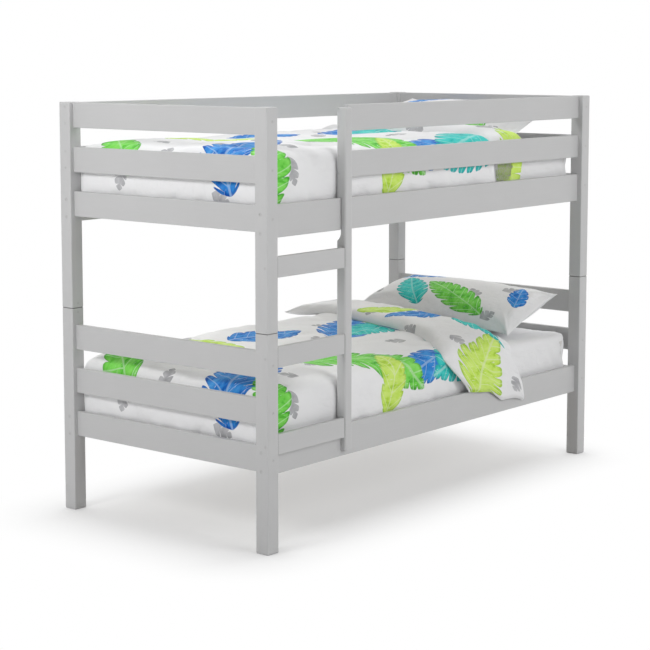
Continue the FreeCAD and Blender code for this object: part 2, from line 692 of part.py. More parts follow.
def hardware_of(bed):
    """One bed's fasteners, each kind as a group of separate solids."""
    bolts = [RAIL_BOLT.made(*place) for place in rail_bolt_places(bed)]
    bolt_ways = [RAIL_BOLT.rod(at, into, CLEAR) for at, into in rail_bolt_places(bed)]
    return {
        f"{bed}_board_screws": [BOARD_SCREW.made(*place) for place in board_screw_places(bed)],
        f"{bed}_rail_bolts": bolts,
        f"{bed}_barrel_nuts": [drilled(rod, bolt_ways) for rod in barrel_rods(bed, 0, 0)],
        f"{bed}_dowels": dowel_rods(bed, 0),
        f"{bed}_lock_screws": [LOCK_SCREW.made(*place) for place in lock_screw_places(bed)],
        f"{bed}_wood_screws": [WOOD_SCREW.made(*place) for place in wood_screw_places(bed)],
    }


def bedding_of(bed):
    return {
        f"{bed}_mattress": mattress_form(bed, 0, MATTRESS_DRAW),
        f"{bed}_fitted_sheet": fitted_sheet(bed),
        f"{bed}_duvet": duvet(bed),
        f"{bed}_pillow": pillow(bed),
    }


def bed_parts(bed):
    holes = holes_of(bed)
    parts = {name: drilled(solid, holes) for name, solid in wood_of(bed).items()}
    slats = [drilled(slat(bed, x), holes) for x in slat_places()]
    parts[f"{bed}_slats"] = Part.makeCompound(slats)
    for name, solids in hardware_of(bed).items():
        parts[name] = Part.makeCompound(solids)
    parts.update(bedding_of(bed))
    return parts


def main():
    os.makedirs("parts", exist_ok=True)
    parts = {}
    for bed in BEDS:
        parts.update(bed_parts(bed))
    parts["post_pegs"] = Part.makeCompound(peg_rods(0))
    parts["rung_pins"] = Part.makeCompound([RUNG_PIN.made(*place) for place in rung_pin_places()])
    for name, shape in parts.items():
        shape.exportStep(f"parts/{name}.step")
        print(f"{name}: {len(shape.Solids)} solids, {shape.Volume / 1000:.1f} cm3, valid {shape.isValid()}")


main()
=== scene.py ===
"""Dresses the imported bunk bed: paint, bare slats, steel, and made-up bedding."""
import math

import bpy
import numpy as np
from mathutils import Euler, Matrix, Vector, noise


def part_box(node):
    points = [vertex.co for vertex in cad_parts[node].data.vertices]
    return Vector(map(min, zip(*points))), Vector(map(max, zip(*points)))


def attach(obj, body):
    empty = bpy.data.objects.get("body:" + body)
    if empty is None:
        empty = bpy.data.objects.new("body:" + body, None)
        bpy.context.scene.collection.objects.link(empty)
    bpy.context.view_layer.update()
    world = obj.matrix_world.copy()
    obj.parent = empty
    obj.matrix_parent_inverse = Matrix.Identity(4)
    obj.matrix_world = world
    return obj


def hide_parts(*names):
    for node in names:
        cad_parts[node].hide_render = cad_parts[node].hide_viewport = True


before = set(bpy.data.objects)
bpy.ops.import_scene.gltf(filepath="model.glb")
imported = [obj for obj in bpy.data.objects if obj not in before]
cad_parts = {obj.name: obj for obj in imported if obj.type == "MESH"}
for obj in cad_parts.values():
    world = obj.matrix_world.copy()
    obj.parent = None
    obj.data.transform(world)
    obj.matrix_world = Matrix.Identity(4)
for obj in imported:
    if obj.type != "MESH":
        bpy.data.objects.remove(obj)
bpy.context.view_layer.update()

SCENE = bpy.context.scene
BEDS = ("lower", "upper")

# The camera, solved from the post corners in the photograph
CAMERA_PLACE = (-5.2868, -4.2843, 1.6633)
CAMERA_PITCH = math.radians(83.6735)
CAMERA_TURN = math.radians(-50.3474)
CAMERA_LENS = 98.362
CAMERA_SHIFT = (0.0042, -0.12)

# Strength of the light all round and of the backdrop, and the way to the backdrop
AMBIENT = 0.235
BACKDROP = 2.1
BACKDROP_WAY = (0.77, 0.63, 0.08)

# Half the width of the line of painted shade where two lengths of a post meet, or a rung meets the ladder
HAIRLINE = 0.0014


def top_of(node):
    """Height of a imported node's top, to a tenth of a millimetre."""
    return round(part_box(node)[1][2], 4)


def half_plan(node, less):
    """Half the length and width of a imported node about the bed's middle, less some room for cloth."""
    low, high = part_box(node)
    return round(-low[0] - less, 4), round(high[1] - less, 4)


# Heights, half sizes and corner radii that the bedding is built on, in metres
CLOTH_ROOM = 0.0015
SHEET_TOP = {bed: top_of(f"{bed}_fitted_sheet") for bed in BEDS}
SLAT_TOP = {bed: top_of(f"{bed}_slats") for bed in BEDS}
RAIL_TOP = {bed: top_of(f"{bed}_side_rail_front") for bed in BEDS}
MATTRESS_HALF = half_plan("upper_mattress", CLOTH_ROOM)
MATTRESS_CORNER = 0.048
DUVET_HALF = half_plan("upper_duvet", CLOTH_ROOM)
DUVET_CORNER = 0.040

# A duvet's filling, what it has more of towards the back, and how far it is tucked below the rail's top
DUVET_FILL = 0.042
BACK_FILL = {"lower": 0.034, "upper": 0.0}
TUCK = 0.030

# Where the wrinkles of each piece of bedding start in the noise
DUVET_SEED = {"lower": 2.0, "upper": 11.0}
TURNED_SEED = {"lower": 4.0, "upper": 17.0}
PILLOW_SEED = {"lower": 6.0, "upper": 23.0}


def wipe_selection():
    for o in bpy.context.selected_objects:
        o.select_set(False)


def make_active(piece):
    wipe_selection()
    piece.select_set(True)
    bpy.context.view_layer.objects.active = piece


class Signal:
    """A number that varies over a surface; sums and products of it add Math nodes."""

    def __init__(self, finish, socket):
        self.finish, self.socket = finish, socket

    def math(self, operation, *others):
        inputs = dict(enumerate((self, *others)))
        return self.finish.node("ShaderNodeMath", {"operation": operation}, inputs)

    def __add__(self, other):
        return self.math("ADD", other)

    __radd__ = __add__

    def __sub__(self, other):
        return self.math("SUBTRACT", other)

    def __rsub__(self, other):
        return self.finish.node("ShaderNodeMath", {"operation": "SUBTRACT"}, {0: other, 1: self})

    def __mul__(self, other):
        return self.math("MULTIPLY", other)

    __rmul__ = __mul__

    def __truediv__(self, other):
        return self.math("DIVIDE", other)

    def __pow__(self, other):
        return self.math("POWER", other)

    def __abs__(self):
        return self.math("ABSOLUTE")

    def most(self, other):
        return self.math("MAXIMUM", other)

    def least(self, other):
        return self.math("MINIMUM", other)

    def over(self, edge, soft):
        """0 below the edge and 1 above it, with a soft step between."""
        return self.finish.node(
            "ShaderNodeMapRange", {"interpolation_type": "SMOOTHSTEP"},
            {"Value": self, "From Min": edge - soft, "From Max": edge + soft},
        )


class Nodes:
    """The node tree of a material or of the world."""

    def __init__(self, owner):
        owner.use_nodes = True
        self.tree = owner.node_tree

    def node(self, kind, settings, inputs, out=0):
        made = self.tree.nodes.new(kind)
        for key, value in settings.items():
            setattr(made, key, value)
        for key, value in inputs.items():
            if isinstance(value, Signal):
                self.tree.links.new(value.socket, made.inputs[key])
            else:
                made.inputs[key].default_value = value
        return Signal(self, made.outputs[out])

    def seen(self):
        """1 for rays that show the background: from the camera, off gloss or through glass."""
        camera, gloss, glass = (
            self.node("ShaderNodeLightPath", {}, {}, f"Is {ray} Ray")
            for ray in ("Camera", "Glossy", "Transmission")
        )
        return camera.most(gloss).most(glass)


class Finish(Nodes):
    """One node material."""

    def __init__(self, name, **constants):
        self.material = bpy.data.materials.new(name)
        super().__init__(self.material)
        self.shader = self.tree.nodes["Principled BSDF"]
        for socket, value in constants.items():
            self.shader.inputs[socket.replace("_", " ")].default_value = value

    def place(self):
        return self.node("ShaderNodeTexCoord", {}, {}, "Object")

    def cloth_place(self):
        return self.node("ShaderNodeUVMap", {"uv_map": "cloth"}, {})

    def stretched(self, where, scale, at=(0, 0, 0), turn=(0, 0, 0)):
        inputs = {"Vector": where, "Location": at, "Rotation": turn, "Scale": scale}
        return self.node("ShaderNodeMapping", {}, inputs)

    def noise(self, where, scale, detail=2.0, rough=0.5):
        inputs = {"Vector": where, "Scale": scale, "Detail": detail, "Roughness": rough}
        return self.node("ShaderNodeTexNoise", {}, inputs)

    def blend(self, share, first, second):
        """A colour between two; a Mix node takes its colours on sockets 6 and 7 and gives one on 2."""
        colours = {0: share}
        for key, colour in ((6, first), (7, second)):
            colours[key] = colour if isinstance(colour, Signal) else (*colour, 1)
        return self.node("ShaderNodeMix", {"data_type": "RGBA"}, colours, 2)

    def bump(self, height, strength, distance, **under):
        inputs = {"Height": height, "Strength": strength, "Distance": distance, **under}
        return self.node("ShaderNodeBump", {}, inputs)

    def feed(self, **links):
        for socket, value in links.items():
            self.tree.links.new(value.socket, self.shader.inputs[socket.replace("_", " ")])
        return self.material


# Darker and lighter tone of each plain finish
PAINT_TONES = ((0.525, 0.525, 0.525), (0.585, 0.585, 0.588))
PINE_TONES = ((0.72, 0.64, 0.53), (0.80, 0.74, 0.65))
ZINC_TONES = ((0.48, 0.49, 0.50), (0.66, 0.66, 0.66))
HEAD_TONES = ((0.48, 0.48, 0.48), (0.54, 0.54, 0.54))
TICKING_TONES = ((0.66, 0.65, 0.63), (0.78, 0.77, 0.75))
COTTON_TONES = ((0.84, 0.84, 0.85), (0.89, 0.89, 0.895))
# Painted shade for the shadow in the gap at a joint
GAP_SHADE_TONE = (0.12, 0.12, 0.12)
PORE_TONE = (0.58, 0.48, 0.36)


def grey_paint(axis, joints=()):
    """Satin light grey paint over softwood grained along one axis, with a thin line of painted shade at each
    joint, for the shadow in the gap there.
    """
    f = Finish(f"grey_paint_along_{axis}", Specular_IOR_Level=0.45)
    along = {"x": (1, 14, 14), "y": (14, 1, 14), "z": (14, 14, 1)}[axis]
    grain = f.noise(f.stretched(f.place(), along), 9.0, 4.0, 0.55)
    stipple = f.noise(f.place(), 520.0, 2.0)
    cloud = f.noise(f.place(), 3.1, 3.0)
    tone = f.blend(cloud * 0.6 + grain * 0.4, *PAINT_TONES)
    height = grain * 0.8 + stipple * 0.35
    # Each joint gets a thin line of painted shade, standing in for the shadow in the gap between the two
    # parts
    for joint in joints:
        level = f.node("ShaderNodeSeparateXYZ", {}, {0: f.place()}, "xyz".index(axis))
        gap_shade = 1 - abs(level - joint).over(HAIRLINE, HAIRLINE / 3)
        tone = f.blend(gap_shade * 0.8, tone, GAP_SHADE_TONE)
    return f.feed(
        Base_Color=tone,
        Roughness=0.36 + grain * 0.1 + stipple * 0.05,
        Normal=f.bump(height, 0.22, 0.0006),
    )


def bare_pine(axis):
    """Planed softwood: growth rings cut lengthwise, and fine pores."""
    f = Finish(f"bare_pine_along_{axis}", Specular_IOR_Level=0.3)
    along = {"x": (0.5, 6, 6), "y": (6, 0.5, 6)}[axis]
    where = f.stretched(f.place(), along)
    drift = f.noise(where, 1.6, 3.0)
    rings = f.node(
        "ShaderNodeTexWave", {"wave_type": "RINGS", "rings_direction": "Z"},
        {"Vector": where, "Scale": 2.2, "Distortion": 5.0, "Detail": 2.0, "Detail Scale": 1.2},
    )
    pores = f.noise(f.stretched(f.place(), tuple(6 * s for s in along)), 22.0, 3.0)
    tone = f.blend(rings * 0.65 + drift * 0.35, *PINE_TONES)
    tone = f.blend(pores.over(0.58, 0.12) * 0.35, tone, PORE_TONE)
    return f.feed(
        Base_Color=tone,
        Roughness=0.55 + pores * 0.2,
        Normal=f.bump(rings + pores, 0.15, 0.0005),
    )


def zinc_steel():
    """Plated steel of the fasteners inside."""
    f = Finish("zinc_steel", Metallic=1.0)
    patch = f.noise(f.place(), 240.0, 3.0)
    return f.feed(
        Base_Color=f.blend(patch, *ZINC_TONES),
        Roughness=0.28 + patch * 0.22,
        Normal=f.bump(patch, 0.1, 0.0002),
    )


def painted_steel():
    """Screw heads sprayed in the bed's grey."""
    f = Finish("painted_steel", Specular_IOR_Level=0.45)
    patch = f.noise(f.place(), 300.0, 2.0)
    return f.feed(
        Base_Color=f.blend(patch, *HEAD_TONES),
        Roughness=0.38 + patch * 0.15,
        Normal=f.bump(patch, 0.15, 0.0003),
    )


def weave_height(f, where, threads):
    """Height of a plain weave: crossing threads with uneven thickness."""
    warp = f.node("ShaderNodeTexWave", {"bands_direction": "X"}, {"Vector": where, "Scale": threads})
    weft = f.node("ShaderNodeTexWave", {"bands_direction": "Y"}, {"Vector": where, "Scale": threads})
    slub = f.noise(where, 130.0, 3.0)
    return warp * 0.5 + weft * 0.5 + slub


def cotton_relief(f, where):
    """Soft crumples with a fine weave over them."""
    crumple = f.noise(where, 15.0, 4.0, 0.55)
    lines = abs(f.noise(f.stretched(where, (1, 2.2, 1), turn=(0, 0, 0.5)), 8.0, 3.0, 0.5) - 0.5)
    soft = f.bump(crumple * 0.6 + lines.least(0.08) * 4, 0.5, 0.005)
    return f.bump(weave_height(f, where, 420.0), 0.12, 0.0004, Normal=soft)


def white_cotton():
    """The fitted sheets' plain cotton."""
    f = Finish("white_cotton", Sheen_Weight=0.15, Sheen_Roughness=0.5, Specular_IOR_Level=0.2)
    where = f.cloth_place()
    cloud = f.noise(where, 7.0, 3.0)
    return f.feed(
        Base_Color=f.blend(cloud, *COTTON_TONES),
        Roughness=0.82 + cloud * 0.1,
        Normal=cotton_relief(f, where),
    )


def mattress_ticking():
    """The mattresses' ribbed cover."""
    f = Finish("mattress_ticking", Sheen_Weight=0.1, Specular_IOR_Level=0.2)
    where = f.cloth_place()
    ribs = f.node("ShaderNodeTexWave", {"bands_direction": "DIAGONAL"}, {"Vector": where, "Scale": 60.0})
    return f.feed(
        Base_Color=f.blend(ribs, *TICKING_TONES),
        Roughness=0.85 + ribs * 0.08,
        Normal=f.bump(ribs, 0.2, 0.0006),
    )


# Inks of the leaf print: wash, deep and pale of each
INKS = {
    "green": ((0.11, 0.62, 0.045), (0.030, 0.24, 0.022), (0.29, 0.78, 0.15)),
    "blue": ((0.006, 0.15, 0.58), (0.004, 0.06, 0.34), (0.07, 0.36, 0.78)),
    "teal": ((0.008, 0.52, 0.47), (0.004, 0.25, 0.30), (0.10, 0.70, 0.65)),
    "lime": ((0.53, 0.80, 0.060), (0.22, 0.46, 0.03), (0.70, 0.90, 0.24)),
    "grey": ((0.30, 0.30, 0.32), (0.20, 0.20, 0.22), (0.46, 0.46, 0.48)),
}

# A grey sprig, laid out as the leaves below, and how densely sprigs are strewn
SPRIG = ((-0.045, 0.0), 0, 0.092, 0.032, 3.0, 0.8)
SPRIGS_PER_METRE = 3.6
FULL_TURN = 6.28


def leaf_shape(f, where, leaf):
    """How far inside a leaf a point is, and how near its ribs; a wave along it cuts its edge into lobes."""
    (x, y), turn, length, width, lobes, cut = leaf
    stem_power, tip_power, fullness, lean, slit_power = 0.62, 0.85, 2.72, 0.22, 5
    midrib, side_rib = 0.04, 0.08
    local = f.node("ShaderNodeMapping", {"vector_type": "TEXTURE"}, {
        "Vector": where, "Location": (x, y, 0),
        "Rotation": (0, 0, math.radians(turn)), "Scale": (length, width, 1),
    })
    along = f.node("ShaderNodeSeparateXYZ", {}, {0: local}, 0)
    across = abs(f.node("ShaderNodeSeparateXYZ", {}, {0: local}, 1))
    kept = along.most(0.0).least(1.0)
    body = (kept ** stem_power) * ((1 - kept) ** tip_power) * fullness
    wave = abs(((along - across * lean) * lobes).math("FRACT") - 0.5) * 2
    inside = body * (1 - (wave ** slit_power) * cut) - across
    ribs = (midrib - across).most(side_rib - wave).least(inside)
    return inside, ribs


def print_layer(f, where, cloth, ink, leaves, wobble, wash):
    """Paints one ink's leaves over the cloth as watercolour, with pooled edges and pale ribs."""
    wash_ink, deep_ink, pale_ink = INKS[ink]
    depth, rib = leaf_shape(f, where, leaves[0])
    for leaf in leaves[1:]:
        inside, ribs = leaf_shape(f, where, leaf)
        depth, rib = depth.most(inside), rib.most(ribs)
    painted = (depth + wobble * 0.06).over(0.03, 0.014)
    pooled = 1 - depth.over(0.12, 0.07)
    colour = f.blend(wash, wash_ink, pale_ink)
    colour = f.blend(pooled * 0.5 + (1 - wash).over(0.8, 0.15) * 0.35, colour, deep_ink)
    colour = f.blend(rib.over(0.0, 0.02) * 0.6, colour, tuple(0.55 * c + 0.38 for c in pale_ink))
    return f.blend(painted, cloth, colour), painted


def leaf_print(name, layers, sprig_seed):
    """White cotton printed with large watercolour leaves and small grey sprigs."""
    f = Finish(name, Sheen_Weight=0.06, Sheen_Roughness=0.5, Specular_IOR_Level=0.12)
    where = f.cloth_place()
    cloud = f.noise(where, 7.0, 3.0)
    cloth = f.blend(cloud, *COTTON_TONES)
    wobble = f.noise(where, 38.0, 3.0, 0.6) - 0.5
    wash = f.noise(f.stretched(where, (1, 2.4, 1), turn=(0, 0, 0.6)), 13.0, 4.0, 0.62).over(0.5, 0.22)
    strokes = f.noise(f.stretched(where, (1, 7, 1), turn=(0, 0, 0.45)), 30.0, 3.0, 0.6)
    bare = cloth
    covered = None
    for ink, leaves in layers:
        cloth, painted = print_layer(f, where, cloth, ink, leaves, wobble, wash)
        covered = painted if covered is None else covered.most(painted)
    cloth = f.blend(strokes.over(0.66, 0.04) * 0.7, cloth, bare)
    shifted = f.stretched(where, (1, 1, 1), at=(sprig_seed, sprig_seed * 0.37, 0))
    cells = {"Vector": shifted, "Scale": SPRIGS_PER_METRE, "Randomness": 0.75}
    middle = f.node("ShaderNodeTexVoronoi", {"voronoi_dimensions": "2D"}, cells, "Position")
    chance = f.node("ShaderNodeTexVoronoi", {"voronoi_dimensions": "2D"}, cells, "Color")
    offset = f.node("ShaderNodeVectorMath", {"operation": "SUBTRACT"}, {0: shifted, 1: middle})
    turn = f.node("ShaderNodeSeparateColor", {}, {"Color": chance}) * FULL_TURN
    turned = f.node("ShaderNodeVectorRotate", {"rotation_type": "Z_AXIS"}, {"Vector": offset, "Angle": turn})
    inside, _ = leaf_shape(f, turned, SPRIG)
    sprig = (inside + wobble * 0.1).over(0.06, 0.03) * (1 - covered)
    cloth = f.blend(sprig * (0.5 + wash * 0.35), cloth, INKS["grey"][0])
    return f.feed(
        Base_Color=cloth,
        Roughness=0.82 + cloud * 0.1,
        Normal=cotton_relief(f, where),
    )


# Leaves by ink, as (stem, turn in degrees, length, half width, lobes, depth of the slits)
TOP_LEAVES = [
    ("blue", [((-1.06, -0.30), 18, 0.56, 0.125, 8, 0.4), ((-0.06, -0.02), 30, 0.48, 0.11, 7, 0.5),
              ((0.10, -0.42), 190, 0.30, 0.07, 5, 0.3), ((-0.42, 0.21), -10, 0.36, 0.08, 6, 0.25)]),
    ("green", [((-0.50, -0.14), -42, 0.58, 0.13, 9, 0.45), ((-1.00, 0.16), 50, 0.32, 0.075, 5, 0.3),
               ((-0.98, -0.62), 64, 0.36, 0.085, 6, 0.35)]),
    ("teal", [((0.50, -0.34), 196, 0.54, 0.12, 8, 0.5), ((0.42, 0.06), 188, 0.40, 0.09, 7, 0.4)]),
    ("lime", [((-0.62, 0.34), -62, 0.36, 0.09, 7, 0.4), ((-0.30, -0.60), 70, 0.30, 0.07, 5, 0.2)]),
]
BACK_LEAVES = [
    ("lime", [((0.02, 0.60), -42, 0.46, 0.11, 7, 0.45), ((0.04, -0.27), 34, 0.26, 0.06, 5, 0.2)]),
    ("teal", [((0.26, 0.06), 64, 0.36, 0.085, 6, 0.25)]),
    ("blue", [((0.30, -0.02), 200, 0.28, 0.065, 5, 0.4)]),
]
PILLOW_LEAVES = [
    ("green", [((-0.20, -0.22), 58, 0.42, 0.095, 7, 0.4)]),
    ("blue", [((0.26, 0.02), 118, 0.36, 0.08, 6, 0.5), ((-0.06, -0.34), 15, 0.22, 0.05, 4, 0.3)]),
    ("teal", [((-0.22, 0.10), 30, 0.34, 0.08, 6, 0.35)]),
]

PAINT = {axis: grey_paint(axis) for axis in "xyz"}
# Posts and rungs carry lines of painted shade at their joints
POST_PAINT = grey_paint("z", [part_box("lower_post_front_foot")[1][2]])
RUNG_PAINT = grey_paint("x", [corner[0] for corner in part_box("ladder_rung_top")])
PINE = {axis: bare_pine(axis) for axis in "xy"}
ZINC = zinc_steel()
HEADS = painted_steel()
COTTON = white_cotton()
TICKING = mattress_ticking()
DUVET_TOP = leaf_print("duvet_print", TOP_LEAVES, 0.3)
DUVET_BACK = leaf_print("duvet_back_print", BACK_LEAVES, 1.7)
PILLOW_PRINT = leaf_print("pillow_print", PILLOW_LEAVES, 4.1)


def node_finish(node):
    """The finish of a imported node, by its name and the way its grain runs."""
    if node.endswith(("board_screws", "lock_screws", "rail_bolts", "rung_pins")):
        return HEADS
    if node.endswith(("nuts", "screws", "pegs")):
        return ZINC
    if node.endswith("dowels"):
        return PINE["x"]
    if node.endswith("slats"):
        return PINE["y"]
    if "bearer" in node:
        return PINE["x"]
    if "_post_" in node:
        return POST_PAINT
    if "rung" in node:
        return RUNG_PAINT
    if "upright" in node:
        return PAINT["z"]
    return PAINT["y"] if "board" in node else PAINT["x"]


for name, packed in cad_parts.items():
    packed.data.materials.clear()
    packed.data.materials.append(node_finish(name))


def mesh_piece(name, points, faces, uv, finishes, slots=None):
    """A smooth object from points and quads, with the cloth's own flat coordinates as its UV map."""
    mesh = bpy.data.meshes.new(name)
    mesh.from_pydata([tuple(p) for p in points], [], faces)
    layer = mesh.uv_layers.new(name="cloth")
    corners = np.empty(len(mesh.loops), dtype=np.int32)
    mesh.loops.foreach_get("vertex_index", corners)
    layer.data.foreach_set("uv", np.asarray(uv, dtype=np.float32)[corners].ravel())
    for finish in finishes:
        mesh.materials.append(finish)
    if slots is not None:
        mesh.polygons.foreach_set("material_index", slots)
    mesh.polygons.foreach_set("use_smooth", [True] * len(mesh.polygons))
    piece = bpy.data.objects.new(name, mesh)
    bpy.context.collection.objects.link(piece)
    return piece


def points_of(piece):
    co = np.empty(len(piece.data.vertices) * 3)
    piece.data.vertices.foreach_get("co", co)
    return co.reshape(-1, 3)


def place_points(piece, points):
    piece.data.vertices.foreach_set("co", points.ravel())
    piece.data.update()


def quads(rows, cols, ring=False):
    """Quads of a grid of points; a ring joins its last row to its first."""
    faces = []
    for i in range(rows if ring else rows - 1):
        below, above = i * cols, (i + 1) % rows * cols
        faces += [(below + j, below + j + 1, above + j + 1, above + j) for j in range(cols - 1)]
    return faces


def second_skin(faces, start):
    """The same quads for points that begin at start, facing the other way."""
    return [tuple(start + k for k in face[::-1]) for face in faces]


def border(rows, cols):
    """The outer points of a grid, in order round it."""
    rim = [(i, 0) for i in range(rows)] + [(rows - 1, j) for j in range(1, cols)]
    rim += [(i, cols - 1) for i in range(rows - 2, -1, -1)] + [(0, j) for j in range(cols - 2, 0, -1)]
    return [i * cols + j for i, j in rim]


def spread(a, b, c=0.0):
    """Points from grids of two numbers and a third."""
    return np.stack([a, b, c + 0 * a], -1)


def ripple(points, scale, seed):
    """Smooth noise from -1 to 1 at each point."""
    flat = points.reshape(-1, 3)
    shift = Vector((seed, seed * 1.7, seed * 0.6))
    values = [noise.noise(Vector(p) * scale + shift) for p in flat]
    return np.array(values).reshape(points.shape[:-1])


def creases(points, scale, seed, power=9):
    """Narrow lines, 1 along each crease and 0 between."""
    return (1 - np.abs(ripple(points, scale, seed))) ** power


def bell(distance, width):
    """1 at no distance, dying away over the width."""
    return np.exp(-((distance / width) ** 2))


def gathers(dx, dy, folds, reach, seed):
    """Folds that fan out from a corner and die away from it."""
    flat_within, twist = 0.05, 3
    angle, far = np.arctan2(dy, dx), np.hypot(dx, dy)
    around = np.stack([np.cos(angle) * folds, np.sin(angle) * folds, far * twist], -1)
    return ripple(around, 1.0, seed) * bell(far, reach) * np.clip(far / flat_within, 0, 1)


def curve_through(table, places):
    """A smooth curve through rows of numbers, read at places along its first column."""
    table = np.asarray(table, float)
    knots, rows = table[:, 0], table[:, 1:]
    slopes = np.gradient(rows, knots, axis=0)
    k = np.clip(np.searchsorted(knots, places, side="right") - 1, 0, len(knots) - 2)
    span = knots[k + 1] - knots[k]
    t = ((places - knots[k]) / span)[..., None]
    span = span[..., None]
    a, b = rows[k], rows[k + 1]
    return (
        a * (2 * t**3 - 3 * t**2 + 1) + b * (3 * t**2 - 2 * t**3)
        + slopes[k] * span * (t**3 - 2 * t**2 + t) + slopes[k + 1] * span * (t**3 - t**2)
    )


def tray(flat_x, flat_y, half, corner, head_open=False):
    """Lays a flat grid over a block with round corners: its plan, drop down the sides, and outward way."""
    half_x, half_y = half
    past_x = np.maximum(np.abs(flat_x) - (half_x - corner), 0)
    if head_open:
        past_x = np.where(flat_x < 0, past_x, 0)
    past_y = np.maximum(np.abs(flat_y) - (half_y - corner), 0)
    far = np.maximum(past_x, past_y)
    length = np.maximum(np.hypot(past_x, past_y), 1e-9)
    way_x, way_y = past_x / length * np.sign(flat_x), past_y / length * np.sign(flat_y)
    reach = np.minimum(far, corner)
    x = np.sign(flat_x) * (np.abs(flat_x) - past_x) + way_x * reach
    y = np.sign(flat_y) * (np.abs(flat_y) - past_y) + way_y * reach
    return x, y, np.maximum(far - corner, 0), way_x, way_y


def keep_within(piece, half, corner):
    """Draws back whatever swelled out of a plan with round corners."""
    co = points_of(piece)
    core = np.array(half) - corner
    past = np.maximum(np.abs(co[:, :2]) - core, 0)
    far = np.maximum(np.hypot(*past.T), 1e-9)
    past *= np.minimum(1, corner / far)[:, None]
    co[:, :2] = np.sign(co[:, :2]) * (np.minimum(np.abs(co[:, :2]), core) + past)
    place_points(piece, co)


def shoulder(inset, reach, power):
    """The height share of a plump edge, from 0 at the edge to 1 inside."""
    return (1 - (1 - np.clip(inset / reach, 0, 1)) ** power) ** (1 / power)


def nearest_edge(dx, dy, power=2.5):
    """A rounded-off smaller of two distances."""
    dx, dy = np.maximum(dx, 1e-5), np.maximum(dy, 1e-5)
    return (dx**-power + dy**-power) ** (-1 / power)


def settle(piece, pressure, cap, slack, frames=20):
    """Fills a closed cloth by simulation, and keeps each point within the cap of where it was."""
    before = points_of(piece)
    cloth = piece.modifiers.new("filling", "CLOTH")
    s = cloth.settings
    s.quality = 4
    s.mass = 0.2
    s.tension_stiffness = s.compression_stiffness = 12
    s.shear_stiffness = 4
    s.bending_stiffness = 0.4
    s.use_pressure = True
    s.uniform_pressure_force = pressure
    s.shrink_min = -slack
    s.effector_weights.gravity = 0
    cloth.point_cache.frame_start, cloth.point_cache.frame_end = 1, frames
    for step in range(1, frames + 1):
        SCENE.frame_set(step)
    move = points_of(piece.evaluated_get(bpy.context.evaluated_depsgraph_get())) - before
    size = np.maximum(np.linalg.norm(move, axis=1, keepdims=True), 1e-9)
    move *= np.tanh(size / cap) * cap / size
    piece.modifiers.remove(cloth)
    place_points(piece, before + move)
    SCENE.frame_set(1)


def smooth_once(piece):
    """One subdivision, applied."""
    make_active(piece)
    finer = piece.modifiers.new("finer", "SUBSURF")
    finer.levels = finer.render_levels = 1
    bpy.ops.object.modifier_apply(modifier=finer.name)


def close_shell(piece):
    """Merges points that meet at pinched rims and turns the faces outwards."""
    make_active(piece)
    bpy.ops.object.mode_set(mode="EDIT")
    bpy.ops.mesh.select_all(action="SELECT")
    bpy.ops.mesh.remove_doubles(threshold=0.0004)
    bpy.ops.mesh.normals_make_consistent(inside=False)
    bpy.ops.object.mode_set(mode="OBJECT")


def mattress(bed):
    """A foam mattress with taped edges, closed all round."""
    step, off_slats, under_sheet = 0.02, 0.0005, 0.0085
    edge_fall, edge_reach, waist, inside_sheet = 0.012, 0.03, 0.003, 0.003
    tape_rise, tape_width, upper_tape, lower_tape = 0.0025, 0.035, 0.1, 0.92
    base, top = SLAT_TOP[bed] + off_slats, SHEET_TOP[bed] - under_sheet
    side = top - base
    flat_x, flat_y = (np.arange(-half - side, half + side + step, step) for half in MATTRESS_HALF)
    fx, fy = np.meshgrid(flat_x, flat_y, indexing="ij")
    x, y, drop, wx, wy = tray(fx, fy, MATTRESS_HALF, MATTRESS_CORNER)
    inset = nearest_edge(MATTRESS_HALF[0] - np.abs(fx), MATTRESS_HALF[1] - np.abs(fy))
    hangs, share = drop > 0, np.clip(drop / side, 0, 1)
    brink = top - edge_fall
    crown = brink + edge_fall * shoulder(inset, edge_reach, 2.0)
    z = np.where(hangs, brink - (side - edge_fall) * share, crown)
    tape = tape_rise * (bell(share - upper_tape, tape_width) + bell(share - lower_tape, tape_width))
    out = np.where(hangs, -waist * np.sin(math.pi * share) + tape - inside_sheet, 0)
    skin = np.stack([x + wx * out, y + wy * out, z], -1)
    underside = tuple(border(*fx.shape)[::-1])
    piece = mesh_piece(
        f"{bed}_mattress_core", skin.reshape(-1, 3), quads(*fx.shape) + [underside],
        np.stack([fx, fy], -1).reshape(-1, 2), [TICKING],
    )
    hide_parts(f"{bed}_mattress")
    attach(piece, f"{bed}_mattress_unit")


